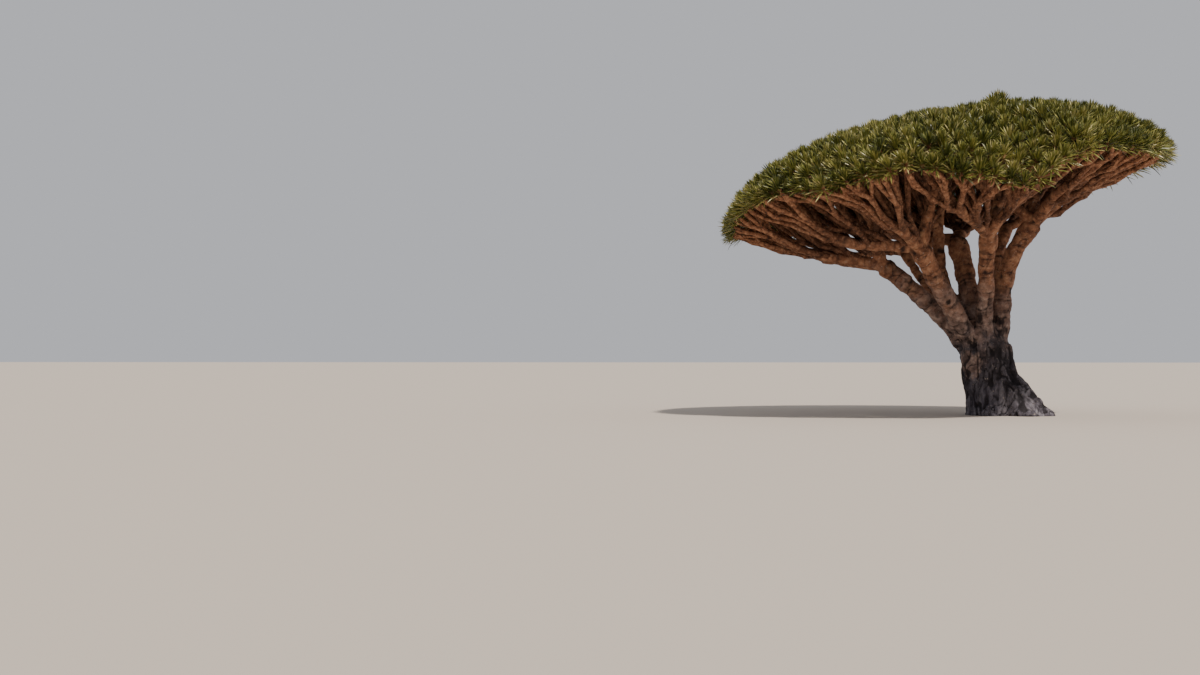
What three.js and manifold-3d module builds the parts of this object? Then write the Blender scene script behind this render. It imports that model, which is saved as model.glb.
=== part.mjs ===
// A dragon blood tree: a short stout trunk, a fan of boughs that fork again and again, and a dense umbrella
// of sword leaves. Millimetres, +Z up, with the origin on the flat cut at ground level.
import * as THREE from "three";
import { mergeVertices } from "three/addons/utils/BufferGeometryUtils.js";
import Module from "manifold-3d";

const wasm = await Module();
wasm.setup();

const DEGREE = Math.PI / 180;
const FULL_TURN = 2 * Math.PI;
const UP = new THREE.Vector3(0, 0, 1);
const JOINT_GAP = 0.3; // between a limb's flat end and what grows on from it
const LIMB_PULL = 0.38; // how stiffly a limb keeps its headings at both ends, as a share of its length
const KNUCKLE = { reach: 0.6, share: 0.5 }; // the blunt end of a forking limb, of its tip's radius
const BOUGH_SIDES = 8;
const BRANCH_SIDES = 6;
const TWIG_SIDES = 3;

// The crown's envelope: a flattened dome on a rim plane that rises towards +X, its peak set towards +X too.
const CROWN_MIDDLE = new THREE.Vector3(-1225, 0, 4750);
const CROWN_TILT = 9 * DEGREE;
const CROWN_REACH = 4990; // leaf tips at the rim
const CROWN_RISE = 1900; // leaf tips over the rim plane
const CROWN_FULLNESS = 0.6; // 0.5 would be an ellipsoid, 1 a paraboloid
const PEAK_SHIFT = 130;
const RIM_BENDS = [
  { heading: 184, spread: 16, by: -140 },
  { heading: 224, spread: 22, by: 300 },
  { heading: 262, spread: 11, by: 200 },
  { heading: 291, spread: 12, by: -430 },
  { heading: 310, spread: 10, by: 130 },
]; // where the rim leaves its plane, in degrees, and how far

// Depths under the leaf tips, measured square to the dome.
const ROSETTE_DEPTH = 395; // where a rosette's leaves part
const CORE_TOP = 450;
const CORE_BOTTOM = 630;

// The trunk: a waist, a foot that flares most towards +X, and a head where the boughs part.
const TRUNK_HEAD = 1700;
const TRUNK_CROTCH = 2050;
const TRUNK_LEAN = -360; // how far the head stands to the side of the foot
const TRUNK_SIDES = 18;
const WAIST_RADIUS = 535;
const WAIST_HEIGHT = 1100;
const FOOT_RADIUS = 650;
const FLARE_HEIGHT = 330;
const BUTTRESS_HEIGHT = 850; // how far up the roots on the side with the most flare keep their width
const ROOTS = { count: 7, least: 120, most: 260, heading: -8 * DEGREE, buttress: 340, spread: 0.34 };
const ROOT_SWAY = 0.25; // how far a root may lie off its even place, of the turn between two
const FLUTES = [
  { depth: 22, count: 5, twist: 0.0011 },
  { depth: 14, count: 9, twist: -0.0017 },
]; // shallow waves round the trunk, which turn a little with height
const TRUNK_LEVELS = [0, 90, 220, 400, 560, 700, 860, 1050, 1400]; // heights of its sections
const TRUNK_CLOSING = [
  [TRUNK_HEAD, 0.88],
  [TRUNK_CROTCH, 0.45],
]; // sections above those, as [height, share of the radius]

// Main boughs: heading (0 is +X, 90 is +Y); foot and fork as [out from the trunk's head, up]; how steeply the
// bough leaves the trunk and how steeply it reaches its fork, in degrees; girth as a radius at the foot.
const BOUGHS = [
  { name: "right", heading: -6, foot: [372, 1900], fork: [1045, 4110], steep: [81, 50], girth: 202 },
  { name: "back_right", heading: 61, foot: [360, 1950], fork: [1000, 4080], steep: [84, 52], girth: 138 },
  { name: "back", heading: 116, foot: [340, 1900], fork: [1330, 3850], steep: [72, 66], girth: 230 },
  { name: "back_left", heading: 141, foot: [440, 1900], fork: [1260, 3980], steep: [38, 97], girth: 145 },
  { name: "low_back_left", heading: 160, foot: [520, 1640], fork: [1820, 3550], steep: [54, 57], girth: 105 },
  { name: "left", heading: 188, foot: [550, 1680], fork: [2120, 3210], steep: [52, 33], girth: 200 },
  { name: "front_left", heading: 230, foot: [560, 1760], fork: [1960, 3490], steep: [45, 57], girth: 212 },
  { name: "front", heading: 274, foot: [340, 1830], fork: [1480, 3760], steep: [76, 56], girth: 190 },
];
const BOUGH_ROOTED = 620; // how far a bough's line starts back inside the trunk
const BOUGH_TAPER = 0.92;
const BRANCH_SHARE = 0.74; // a branch's radius at its foot, of its bough's at the fork
const BRANCH_TAPER = 0.7;
const BRANCH_SUNK = 0.35; // how far it starts back inside the fork, of the bough's radius there
const BRANCH_TURN = { foot: 0.15, tip: 0.5 }; // how far its ends take the heading of what they meet
const PARTING = { clearance: 22, last: 0.75 }; // between parting limbs, and the last share where it is sought

// Masses of foliage, in rings round the dome. `entry` is where a mass's branch ends and `aim` is what its
// stem makes for, both as [share of the reach, height over the rim plane]. `slant` is how much higher the
// entry is at the crown's raised side than midway.
const RINGS = [
  { name: "top", count: 3, place: 0.25, turn: 85, entry: [0.16, 560], aim: [0.25, 1300], slant: 0 },
  { name: "middle", count: 7, place: 0.58, turn: 10, entry: [0.41, 60], aim: [0.56, 900], slant: 140 },
  { name: "rim", count: 13, place: 0.87, turn: 0, entry: [0.58, -600], aim: [0.96, 0], slant: 250 },
];
const SPACE_APEX = new THREE.Vector3(TRUNK_LEAN, 0, 1900); // all the masses' spaces fan out from here
const SPACE_MARGIN = 12; // from a mass to the edge of its space
const NEIGHBOURS = 9; // the most spaces that can touch one space
const SLAB = { rings: [0.46, 0.8, 1], sides: 15 }; // the cores' facets: shares of the way out, and round
const SPACING = 825; // between rosettes
const LEAVES = 9; // in each rosette, by turns spreading and upright
const LEAF_REACH = 455;
const NECK_ROOM = { wanted: 50, least: 20 }; // from a neck to the edge of its mass's space
const SPREADING = [22, 42]; // degrees above the rosette's own level
const UPRIGHT = [52, 76];
const NECK_RADIUS = 75;
const NECK_TOP = 25; // under the leaves' parting, where the neck is clear of the core
const NECK_SUNK = 220; // and where it ends inside it
const COLLAR = { radius: 128, height: 50 }; // the notch between two leaves
const STUB = { radius: 90, height: 40 }; // a leaf that its mass has no room for
const BUD_HEIGHT = 90; // the rosette's middle, over the leaves' parting
const ROSETTE_UPTURN = 0.3; // how far a rosette turns from square to the dome towards the sky
const SITE_SWAY = { ring: 0.015, round: 0.14 }; // how far rosettes lie out of line
const TWIG_RADIUS = 55;
const SITES_PER_TWIG = 3;
const FORKS_LOW = 0.8; // how near a mass's underside its first forks keep, from 0 to 1
const STEM_SHARE = 0.3; // of the way to its mass's aim
const FORK_SHARE = 0.4; // of the way to the middle of what a twig feeds
const TWIG_TURN = 0.35; // how far a twig keeps the heading it starts with
const FORK_TURN = 0.3; // how far the two twigs of a fork keep the heading before it
const TWIG_TAPER = 0.88; // along a twig
const TWIG_STEP = 0.84; // and from a twig to the next, both of the radius before it
const TWIG_CLEARANCE = 30; // from a twig to any limb

const BARK = { color: 0x85573a, roughness: 0.92, metalness: 0 };
const TRUNK_BARK = { color: 0x655a58, roughness: 0.96, metalness: 0 };
const FOLIAGE = { color: 0x56692d, roughness: 0.6, metalness: 0 };

// The same even numbers on every run, from 0 to 1.
class Dice {
  constructor(seed) {
    this.state = seed;
  }
  roll() {
    this.state = (this.state * 16807) % 2147483647;
    return this.state / 2147483647;
  }
  between(low, high) {
    return low + (high - low) * this.roll();
  }
}

const mix = (a, b, share) => a + (b - a) * share;
const headingVector = (angle) => new THREE.Vector3(Math.cos(angle), Math.sin(angle), 0);
const turnBetween = (a, b) => Math.abs(Math.atan2(Math.sin(a - b), Math.cos(a - b)));

// The crown's own axes: along the tilted rim plane, across it, and square to it.
const ALONG = new THREE.Vector3(Math.cos(CROWN_TILT), 0, Math.sin(CROWN_TILT));
const ACROSS = new THREE.Vector3(0, 1, 0);
const SQUARE = new THREE.Vector3(-Math.sin(CROWN_TILT), 0, Math.cos(CROWN_TILT));

function crownPlace(along, across, height) {
  return CROWN_MIDDLE.clone()
    .addScaledVector(ALONG, along)
    .addScaledVector(ACROSS, across)
    .addScaledVector(SQUARE, height);
}

// How far the crown is lifted off the rim plane at a share of the way to the rim.
function rimBend(place, turn) {
  const lifts = RIM_BENDS.map(({ heading, spread, by }) => {
    return by * Math.exp(-Math.pow(turnBetween(turn, heading * DEGREE) / (spread * DEGREE), 2));
  });
  return lifts.reduce((sum, lift) => sum + lift, 0) * Math.pow(place, 3);
}

// A point `depth` under the leaf tips, `place` of the way to the rim, in the direction `turn`.
function crownPoint(place, turn, depth) {
  const out = (CROWN_REACH - depth) * place;
  const swell = Math.pow(Math.max(0, 1 - place * place), CROWN_FULLNESS);
  const along = out * Math.cos(turn) + PEAK_SHIFT * swell;
  return crownPlace(along, out * Math.sin(turn), (CROWN_RISE - depth) * swell + rimBend(place, turn));
}

function crownNormal(place, turn) {
  const step = 0.01;
  const at = Math.min(0.98, Math.max(place, 2 * step));
  const outward = crownPoint(at + step, turn, 0).sub(crownPoint(at - step, turn, 0));
  const round = crownPoint(at, turn + step, 0).sub(crownPoint(at, turn - step, 0));
  return outward.cross(round).normalize();
}

// Places for rosettes in rings along the dome's curve, the last ring on the rim, each a little out of line.
function crownSites(dice) {
  const steps = 400;
  const lengths = [0];
  const flank = (i) => crownPoint(i / steps, Math.PI / 2, ROSETTE_DEPTH);
  for (let i = 1; i <= steps; i++) lengths.push(lengths[i - 1] + flank(i).distanceTo(flank(i - 1)));
  const rings = Math.round(lengths[steps] / SPACING);
  const sites = [{ place: 0, turn: 0 }];
  for (let r = 1; r <= rings; r++) {
    const along = lengths.findIndex((l) => l >= (r / rings) * lengths[steps] - 1e-6);
    const count = Math.round((FULL_TURN * (CROWN_REACH - ROSETTE_DEPTH) * (along / steps)) / SPACING);
    const start = dice.between(0, FULL_TURN);
    for (let i = 0; i < count; i++) {
      const shift = r < rings ? dice.between(-SITE_SWAY.ring, SITE_SWAY.ring) : 0;
      const sway = dice.between(-SITE_SWAY.round, SITE_SWAY.round);
      const place = Math.min(0.995, along / steps + shift);
      sites.push({ place, turn: start + ((i + sway) * FULL_TURN) / count });
    }
  }
  return sites;
}

// Solids: a closed three.js geometry becomes one that can be joined and cut.
function solid(geometry) {
  geometry.deleteAttribute("normal");
  geometry.deleteAttribute("uv");
  const merged = mergeVertices(geometry, 1e-3);
  return new wasm.Manifold(
    new wasm.Mesh({
      numProp: 3,
      vertProperties: new Float32Array(merged.attributes.position.array),
      triVerts: new Uint32Array(merged.index.array),
    }),
  );
}

function solidOf(points, faces) {
  const geometry = new THREE.BufferGeometry();
  const flat = points.flatMap((p) => [p.x, p.y, p.z]);
  geometry.setAttribute("position", new THREE.Float32BufferAttribute(flat, 3));
  geometry.setIndex(faces);
  return solid(geometry);
}

function join(solids) {
  return solids.reduce((whole, next) => whole.add(next));
}

function largestBody(whole) {
  return whole.decompose().reduce((best, next) => (next.volume() > best.volume() ? next : best));
}

function namedMesh(name, made, look) {
  const mesh = made.getMesh();
  const geometry = new THREE.BufferGeometry();
  geometry.setAttribute("position", new THREE.BufferAttribute(mesh.vertProperties, 3));
  geometry.setIndex(new THREE.BufferAttribute(mesh.triVerts, 1));
  geometry.computeVertexNormals();
  const named = new THREE.Mesh(geometry, new THREE.MeshStandardMaterial(look));
  named.name = name;
  return named;
}

// A closed skin through rings of points that all have the same number of points, with flat ends.
function loft(rings) {
  const sides = rings[0].length;
  const faces = [];
  for (let r = 0; r + 1 < rings.length; r++) {
    for (let s = 0; s < sides; s++) {
      const a = r * sides + s;
      const b = r * sides + ((s + 1) % sides);
      faces.push(a, b, b + sides, a, b + sides, a + sides);
    }
  }
  const last = (rings.length - 1) * sides;
  for (let s = 1; s + 1 < sides; s++) {
    faces.push(0, s + 1, s, last, last + s, last + s + 1);
  }
  return solidOf(rings.flat(), faces);
}

function ringAt(centre, heading, sideways, radius, sides) {
  const side = sideways.clone().addScaledVector(heading, -sideways.dot(heading)).normalize();
  const other = heading.clone().cross(side);
  return Array.from({ length: sides }, (_, s) => {
    const angle = (FULL_TURN * s) / sides;
    return centre
      .clone()
      .addScaledVector(side, radius * Math.cos(angle))
      .addScaledVector(other, radius * Math.sin(angle));
  });
}

// One limb: a smooth line from start to end, and its radius at the foot and at the tip.
class Limb {
  constructor(start, startHeading, end, endHeading, footRadius, tipRadius) {
    const pull = start.distanceTo(end) * LIMB_PULL;
    this.curve = new THREE.CubicBezierCurve3(
      start,
      start.clone().addScaledVector(startHeading, pull),
      end.clone().addScaledVector(endHeading, -pull),
      end,
    );
    this.length = this.curve.getLength();
    this.footRadius = footRadius;
    this.tipRadius = tipRadius;
    this.sideways = UP.clone().cross(end.clone().sub(start).setZ(0).normalize());
    if (this.sideways.length() < 0.5) this.sideways.set(1, 0, 0);
  }
  at(t) {
    return this.curve.getPoint(t);
  }
  radius(t) {
    return mix(this.footRadius, this.tipRadius, t);
  }
  heading(t) {
    return this.curve.getTangent(t);
  }
  // The stretch from t0 to t1, its ends square to its line, with a blunt knuckle past the tip if wanted.
  stretch(t0, t1, sides, steps, knuckle = false) {
    const rings = [];
    for (let i = 0; i <= steps; i++) {
      const t = mix(t0, t1, i / steps);
      rings.push(ringAt(this.at(t), this.heading(t), this.sideways, this.radius(t), sides));
    }
    if (knuckle) {
      const beyond = this.at(t1).addScaledVector(this.heading(t1), this.tipRadius * KNUCKLE.reach);
      rings.push(ringAt(beyond, this.heading(t1), this.sideways, this.tipRadius * KNUCKLE.share, sides));
    }
    return loft(rings);
  }
}

// How far along a limb its skin comes clear of the others that it parts from.
function partingShare(limb, others, least) {
  const step = 0.01;
  for (let t = PARTING.last; t > least; t -= step) {
    for (const other of others) {
      for (let u = 0; u <= PARTING.last; u += step) {
        const apart = limb.at(t).distanceTo(other.at(u)) - limb.radius(t) - other.radius(u);
        if (apart < PARTING.clearance) return t + 1.5 * step;
      }
    }
  }
  return least;
}

const trunkAxis = (z) =>
  new THREE.Vector3(TRUNK_LEAN * Math.sin(Math.min(1, z / TRUNK_HEAD) * Math.PI * 0.5), 0, z);

// The trunk's section at a height: a wavy ring, with root flare near the ground.
function trunkRing(z) {
  const dice = new Dice(4711);
  const roots = Array.from({ length: ROOTS.count }, (_, i) => {
    const angle = ROOTS.heading + ((i + dice.between(-ROOT_SWAY, ROOT_SWAY)) * FULL_TURN) / ROOTS.count;
    const buttress = Math.max(0, Math.cos(angle - ROOTS.heading)) * ROOTS.buttress;
    return { angle, buttress, size: dice.between(ROOTS.least, ROOTS.most) };
  });
  const flare = Math.exp(-z / FLARE_HEIGHT);
  const shoulder = Math.exp(-Math.pow(z / BUTTRESS_HEIGHT, 4));
  const belly = Math.min(1, Math.pow((z - WAIST_HEIGHT) / WAIST_HEIGHT, 2));
  return Array.from({ length: TRUNK_SIDES }, (_, s) => {
    const angle = (FULL_TURN * s) / TRUNK_SIDES;
    let radius = mix(WAIST_RADIUS, FOOT_RADIUS, belly);
    for (const { depth, count, twist } of FLUTES) radius += depth * Math.sin(count * angle + z * twist);
    for (const root of roots) {
      const off = turnBetween(angle, root.angle) / ROOTS.spread;
      radius += (root.size * flare + root.buttress * shoulder) * Math.exp(-off * off);
    }
    return trunkAxis(z).addScaledVector(headingVector(angle), radius);
  });
}

function trunkColumn() {
  const closing = ([z, share]) =>
    trunkRing(z).map((p) => p.sub(trunkAxis(z)).multiplyScalar(share).add(trunkAxis(z)));
  return loft([...TRUNK_LEVELS.map(trunkRing), ...TRUNK_CLOSING.map(closing)]);
}

// Main boughs, each with its line from inside the trunk to its fork.
function growBoughs() {
  return BOUGHS.map((facts) => {
    const outward = headingVector(facts.heading * DEGREE);
    const place = ([out, up]) => trunkAxis(TRUNK_HEAD).addScaledVector(outward, out).setZ(up);
    const slope = (steep) =>
      outward.clone().multiplyScalar(Math.cos(steep * DEGREE)).addScaledVector(UP, Math.sin(steep * DEGREE));
    const [leaving, reaching] = facts.steep.map(slope);
    const start = place(facts.foot).addScaledVector(leaving, -BOUGH_ROOTED);
    const { name, fork, girth } = facts;
    const limb = new Limb(start, leaving, place(fork), reaching, girth, girth * BOUGH_TAPER);
    return { name, limb, masses: [] };
  });
}

// Where a bough comes out of the trunk's column.
function surfacingShare(limb) {
  const steps = 100;
  for (let i = 10; i < steps; i++) {
    const t = i / steps;
    const point = limb.at(t);
    const off = point.clone().sub(trunkAxis(point.z)).setZ(0).length();
    const beside = off - limb.radius(t) > WAIST_RADIUS + FLUTES[0].depth + FLUTES[1].depth;
    if (beside || point.z - limb.radius(t) > TRUNK_CROTCH) return t;
  }
  return 1;
}

// A point by its share of the crown's reach and its height over the rim plane.
function underCrown([share, height], turn) {
  const out = CROWN_REACH * share;
  return crownPlace(out * Math.cos(turn), out * Math.sin(turn), height + rimBend(share, turn));
}

// The masses, each fed by the bough whose fork is nearest where the mass is entered.
function placeMasses(boughs) {
  const masses = [];
  for (const ring of RINGS) {
    for (let i = 0; i < ring.count; i++) {
      const turn = ring.turn * DEGREE + (FULL_TURN * i) / ring.count;
      const centre = crownPoint(ring.place, turn, CORE_BOTTOM);
      const toward = centre.clone().sub(SPACE_APEX).normalize();
      const entry = underCrown([ring.entry[0], ring.entry[1] + ring.slant * Math.cos(turn)], turn);
      const aim = underCrown(ring.aim, turn);
      masses.push({ name: `${ring.name}_${i + 1}`, ring, turn, centre, toward, entry, aim, sites: [] });
    }
  }
  for (const mass of masses) {
    const far = (bough) => bough.limb.at(1).distanceTo(mass.entry);
    mass.bough = boughs.reduce((best, next) => (far(next) < far(best) ? next : best));
    mass.bough.masses.push(mass);
  }
  return masses;
}

// How far inside its own space a point lies: the spaces are cones from one apex, parted by planes through it.
function roomInSpace(point, mass, masses) {
  const reach = point.clone().sub(SPACE_APEX);
  let room = Infinity;
  for (const other of masses) {
    if (other === mass) continue;
    const across = mass.toward.clone().sub(other.toward).normalize();
    room = Math.min(room, reach.dot(across));
  }
  return room;
}

// The branch from a bough's fork to where it enters its mass.
function growBranch(mass) {
  const parent = mass.bough.limb;
  const fork = parent.at(1);
  const heading = mass.entry.clone().sub(fork).normalize();
  const start = fork.clone().addScaledVector(heading, -BRANCH_SUNK * parent.tipRadius);
  const startHeading = heading.clone().lerp(parent.heading(1), BRANCH_TURN.foot).normalize();
  const onward = mass.aim.clone().sub(mass.entry).normalize();
  const endHeading = heading.clone().lerp(onward, BRANCH_TURN.tip).normalize();
  const footRadius = parent.tipRadius * BRANCH_SHARE;
  mass.branch = new Limb(start, startHeading, mass.entry, endHeading, footRadius, footRadius * BRANCH_TAPER);
}

function buildLimbNodes(bough) {
  const clear = bough.parting + JOINT_GAP / bough.limb.length;
  const pieces = [bough.limb.stretch(clear, 1, BOUGH_SIDES, 4, true)];
  const nodes = [];
  for (const mass of bough.masses) {
    const others = bough.masses.filter((m) => m !== mass).map((m) => m.branch);
    const clearOfKnuckle = (1.5 * bough.limb.tipRadius) / mass.branch.length;
    const share = partingShare(mass.branch, others, clearOfKnuckle);
    pieces.push(mass.branch.stretch(0, share, BRANCH_SIDES, 1));
    const beyond = share + JOINT_GAP / mass.branch.length;
    const made = mass.branch.stretch(beyond, 1, BRANCH_SIDES, 3);
    nodes.push(namedMesh(`branch_${mass.name}`, made, BARK));
  }
  nodes.unshift(namedMesh(`bough_${bough.name}`, largestBody(join(pieces)), BARK));
  return nodes;
}

// A slab under the leaves over the whole crown, from which each mass takes the piece in its own space.
function crownSlab() {
  const { rings, sides } = SLAB;
  const layerSize = 1 + rings.length * sides;
  const points = [];
  for (const depth of [CORE_TOP, CORE_BOTTOM]) {
    points.push(crownPoint(0, 0, depth));
    for (const place of rings) {
      for (let s = 0; s < sides; s++) points.push(crownPoint(place, (FULL_TURN * s) / sides, depth));
    }
  }
  const faces = [];
  const both = (a, b, c) => faces.push(a, b, c, a + layerSize, c + layerSize, b + layerSize);
  for (let s = 0; s < sides; s++) {
    const n = (s + 1) % sides;
    both(0, 1 + s, 1 + n);
    for (let r = 0; r + 1 < rings.length; r++) {
      const inner = 1 + r * sides;
      const outer = inner + sides;
      both(inner + s, outer + s, outer + n);
      both(inner + s, outer + n, inner + n);
    }
    const edge = 1 + (rings.length - 1) * sides;
    faces.push(edge + s, edge + s + layerSize, edge + n);
    faces.push(edge + n, edge + s + layerSize, edge + n + layerSize);
  }
  return solidOf(points, faces);
}

// A big block on the far side of the plane between two spaces.
function blockBeyond(mass, other) {
  const size = 3 * CROWN_REACH;
  const across = mass.toward.clone().sub(other.toward).normalize();
  const block = new THREE.BoxGeometry(size, size, size);
  block.translate(0, 0, -size / 2);
  block.applyQuaternion(new THREE.Quaternion().setFromUnitVectors(UP, across));
  const edge = SPACE_APEX.clone().addScaledVector(across, SPACE_MARGIN);
  return solid(block.translate(edge.x, edge.y, edge.z));
}

function coreOf(mass, masses, slab) {
  const near = masses
    .filter((m) => m !== mass)
    .sort((a, b) => b.toward.dot(mass.toward) - a.toward.dot(mass.toward))
    .slice(0, NEIGHBOURS);
  return largestBody(near.reduce((piece, other) => piece.subtract(blockBeyond(mass, other)), slab));
}

// One rosette: a neck sunk in the core, and leaves by turns spreading and upright, as one closed star.
function rosette(site, mass, masses, dice) {
  const { base, axis } = site;
  const side = axis.clone().cross(ACROSS).normalize();
  const other = axis.clone().cross(side);
  const at = (angle, out, up) =>
    base
      .clone()
      .addScaledVector(side, out * Math.cos(angle))
      .addScaledVector(other, out * Math.sin(angle))
      .addScaledVector(axis, up);
  const turn = dice.between(0, Math.PI);
  const neck = [-NECK_SUNK, -NECK_TOP].flatMap((up) =>
    [0, 1, 2].map((i) => at(turn + (FULL_TURN * i) / 3, NECK_RADIUS, up)),
  );
  const collar = [];
  for (let i = 0; i < LEAVES; i++) {
    const angle = turn + (FULL_TURN * i) / LEAVES;
    const reach = LEAF_REACH * dice.between(0.88, 1.06);
    const lean = dice.between(...(i % 2 ? SPREADING : UPRIGHT));
    const tips = [lean, mix(lean, 90, 0.4), mix(lean, 90, 0.75)].map((steep) =>
      at(angle, reach * Math.cos(steep * DEGREE), reach * Math.sin(steep * DEGREE)),
    );
    const tip = tips.find((p) => roomInSpace(p, mass, masses) > SPACE_MARGIN);
    collar.push(tip ?? at(angle, STUB.radius, STUB.height));
    collar.push(at(angle + Math.PI / LEAVES, COLLAR.radius, COLLAR.height));
  }
  const points = [...neck, ...collar, at(0, 0, BUD_HEIGHT)];
  const middle = points.length - 1;
  const faces = [0, 2, 1];
  for (let i = 0; i < 3; i++) {
    const next = (i + 1) % 3;
    faces.push(i, next, next + 3, i, next + 3, i + 3);
  }
  for (let c = 0; c < collar.length; c++) {
    const next = (c + 1) % collar.length;
    const under = 3 + (Math.round((c * 3) / collar.length) % 3);
    const underNext = 3 + (Math.round(((c + 1) * 3) / collar.length) % 3);
    faces.push(6 + c, 6 + next, middle);
    faces.push(under, 6 + next, 6 + c);
    if (underNext !== under) faces.push(under, underNext, 6 + next);
  }
  return solidOf(points, faces);
}

// Gives each rosette's place to the mass whose space holds it, moved in from the edge of that space.
function shareSites(masses) {
  for (const { place, turn } of crownSites(new Dice(2718))) {
    const base = crownPoint(place, turn, ROSETTE_DEPTH);
    const reach = base.clone().sub(SPACE_APEX);
    const mass = masses.reduce((best, next) =>
      reach.dot(next.toward) > reach.dot(best.toward) ? next : best,
    );
    const axis = crownNormal(place, turn).addScaledVector(UP, ROSETTE_UPTURN).normalize();
    const middle = crownPoint(mass.ring.place, mass.turn, ROSETTE_DEPTH);
    const room = () => {
      const sunk = base.clone().addScaledVector(axis, -NECK_SUNK);
      return Math.min(roomInSpace(base, mass, masses), roomInSpace(sunk, mass, masses)) - NECK_RADIUS;
    };
    for (let i = 0; i < 12 && room() < NECK_ROOM.wanted; i++) base.lerp(middle, 0.05);
    if (room() > NECK_ROOM.least) mass.sites.push({ base, axis });
  }
}

// Halves a group of rosettes along its longer side, as the twigs under it fork.
function halves(sites, mass) {
  const out = mass.toward.clone().setZ(0).normalize();
  const around = out.clone().cross(UP);
  const spread = (line) => {
    const along = sites.map((s) => s.base.dot(line));
    return Math.max(...along) - Math.min(...along);
  };
  const line = spread(out) > spread(around) ? out : around;
  const sorted = [...sites].sort((a, b) => a.base.dot(line) - b.base.dot(line));
  const middle = Math.ceil(sorted.length / 2);
  return [sorted.slice(0, middle), sorted.slice(middle)];
}

function middleOf(sites) {
  return sites.reduce((sum, s) => sum.add(s.base), new THREE.Vector3()).divideScalar(sites.length);
}

// A point in the crown's own terms: how far out from its middle, and how high over the rim plane.
function inCrown(point) {
  const from = point.clone().sub(CROWN_MIDDLE);
  return { out: Math.hypot(from.dot(ALONG), from.dot(ACROSS)), height: from.dot(SQUARE) };
}

// Where twigs that feed these rosettes make for: under their middle, and as near the mass's underside, which
// runs from its entry to its aim, as they feed many.
function targetOf(sites, mass) {
  const middle = middleOf(sites);
  const [here, entry, aim] = [middle, mass.entry, mass.aim].map(inCrown);
  const share = Math.min(1, Math.max(0, (here.out - entry.out) / (aim.out - entry.out)));
  const above = Math.max(0, here.height - mix(entry.height, aim.height, share));
  const low = FORKS_LOW * Math.min(1, Math.log2(sites.length) / 3);
  return middle.addScaledVector(SQUARE, -above * low);
}

// Twigs fork from one stem towards ever smaller groups of rosettes, and the last ones end inside the core.
function growTwigs(from, heading, sites, mass, radius, twigs, fits) {
  const stem = twigs.length === 0;
  const last = !stem && sites.length <= SITES_PER_TWIG;
  let twig;
  if (last) {
    const sunk = ROSETTE_DEPTH - (CORE_TOP + CORE_BOTTOM) / 2;
    const end = middleOf(sites).addScaledVector(sites[0].axis, sunk);
    twig = new Limb(from, heading, end, sites[0].axis, radius, TWIG_RADIUS);
  } else {
    const target = stem ? mass.aim : targetOf(sites, mass);
    const fork = from.clone().lerp(target, stem ? STEM_SHARE : FORK_SHARE);
    const onward = fork.clone().sub(from).normalize().lerp(heading, TWIG_TURN).normalize();
    twig = new Limb(from, heading, fork, onward, radius, radius * TWIG_TAPER);
  }
  if (!stem && !fits(twig)) return;
  twigs.push(twig);
  if (last) return;
  const onward = twig.heading(1);
  for (const group of halves(sites, mass)) {
    const toward = targetOf(group, mass).sub(twig.at(1)).normalize().lerp(onward, FORK_TURN).normalize();
    growTwigs(twig.at(1), toward, group, mass, radius * TWIG_STEP, twigs, fits);
  }
}

// Whether a twig keeps to its mass's space and stays clear of every limb of the tree.
function twigFits(twig, mass, masses, limbs) {
  for (let t = 0.1; t <= 1; t += 0.1) {
    const point = twig.at(t);
    if (t > 0.3 && roomInSpace(point, mass, masses) < twig.radius(t)) return false;
    for (const limb of limbs) {
      if (limb === mass.branch) continue;
      for (let u = 0; u <= 1; u += 0.04) {
        const apart = point.distanceTo(limb.at(u)) - twig.radius(t) - limb.radius(u);
        if (apart < TWIG_CLEARANCE) return false;
      }
    }
  }
  return true;
}

function buildMass(mass, masses, slab, limbs, dice) {
  const start = mass.branch.at(1).addScaledVector(mass.branch.heading(1), JOINT_GAP);
  const fits = (twig) => twigFits(twig, mass, masses, limbs);
  const twigs = [];
  growTwigs(start, mass.branch.heading(1), mass.sites, mass, mass.branch.tipRadius, twigs, fits);
  const pieces = [coreOf(mass, masses, slab)];
  for (const twig of twigs) {
    const stem = twig === twigs[0];
    pieces.push(twig.stretch(0, 1, stem ? BRANCH_SIDES : TWIG_SIDES, 1, stem));
  }
  for (const site of mass.sites) pieces.push(rosette(site, mass, masses, dice));
  return largestBody(join(pieces));
}

function buildTree() {
  const tree = new THREE.Group();
  const boughs = growBoughs();
  const masses = placeMasses(boughs);
  masses.forEach(growBranch);
  shareSites(masses);

  const trunkPieces = [trunkColumn()];
  for (const bough of boughs) {
    const others = boughs.filter((b) => b !== bough).map((b) => b.limb);
    bough.parting = partingShare(bough.limb, others, surfacingShare(bough.limb));
    trunkPieces.push(bough.limb.stretch(0, bough.parting, BOUGH_SIDES, 3));
  }
  tree.add(namedMesh("trunk", largestBody(join(trunkPieces)), TRUNK_BARK));
  for (const bough of boughs) tree.add(...buildLimbNodes(bough));

  const slab = crownSlab();
  const limbs = [...boughs.map((b) => b.limb), ...masses.map((m) => m.branch)];
  masses.forEach((mass, i) => {
    const made = buildMass(mass, masses, slab, limbs, new Dice(239 + 37 * i));
    tree.add(namedMesh(`foliage_${mass.name}`, made, FOLIAGE));
  });
  return tree;
}

export default buildTree();
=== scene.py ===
"""A dragon blood tree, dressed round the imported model.

It has furrowed bark on the trunk and boughs, twigs that fork on from every branch by the rule of the solids,
and a rosette of sword leaves on each last twig.

Metres, +Z up, with the origin on the flat cut at ground level.
"""
import math

import bpy
import numpy as np
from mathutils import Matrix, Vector
from mathutils.kdtree import KDTree


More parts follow.
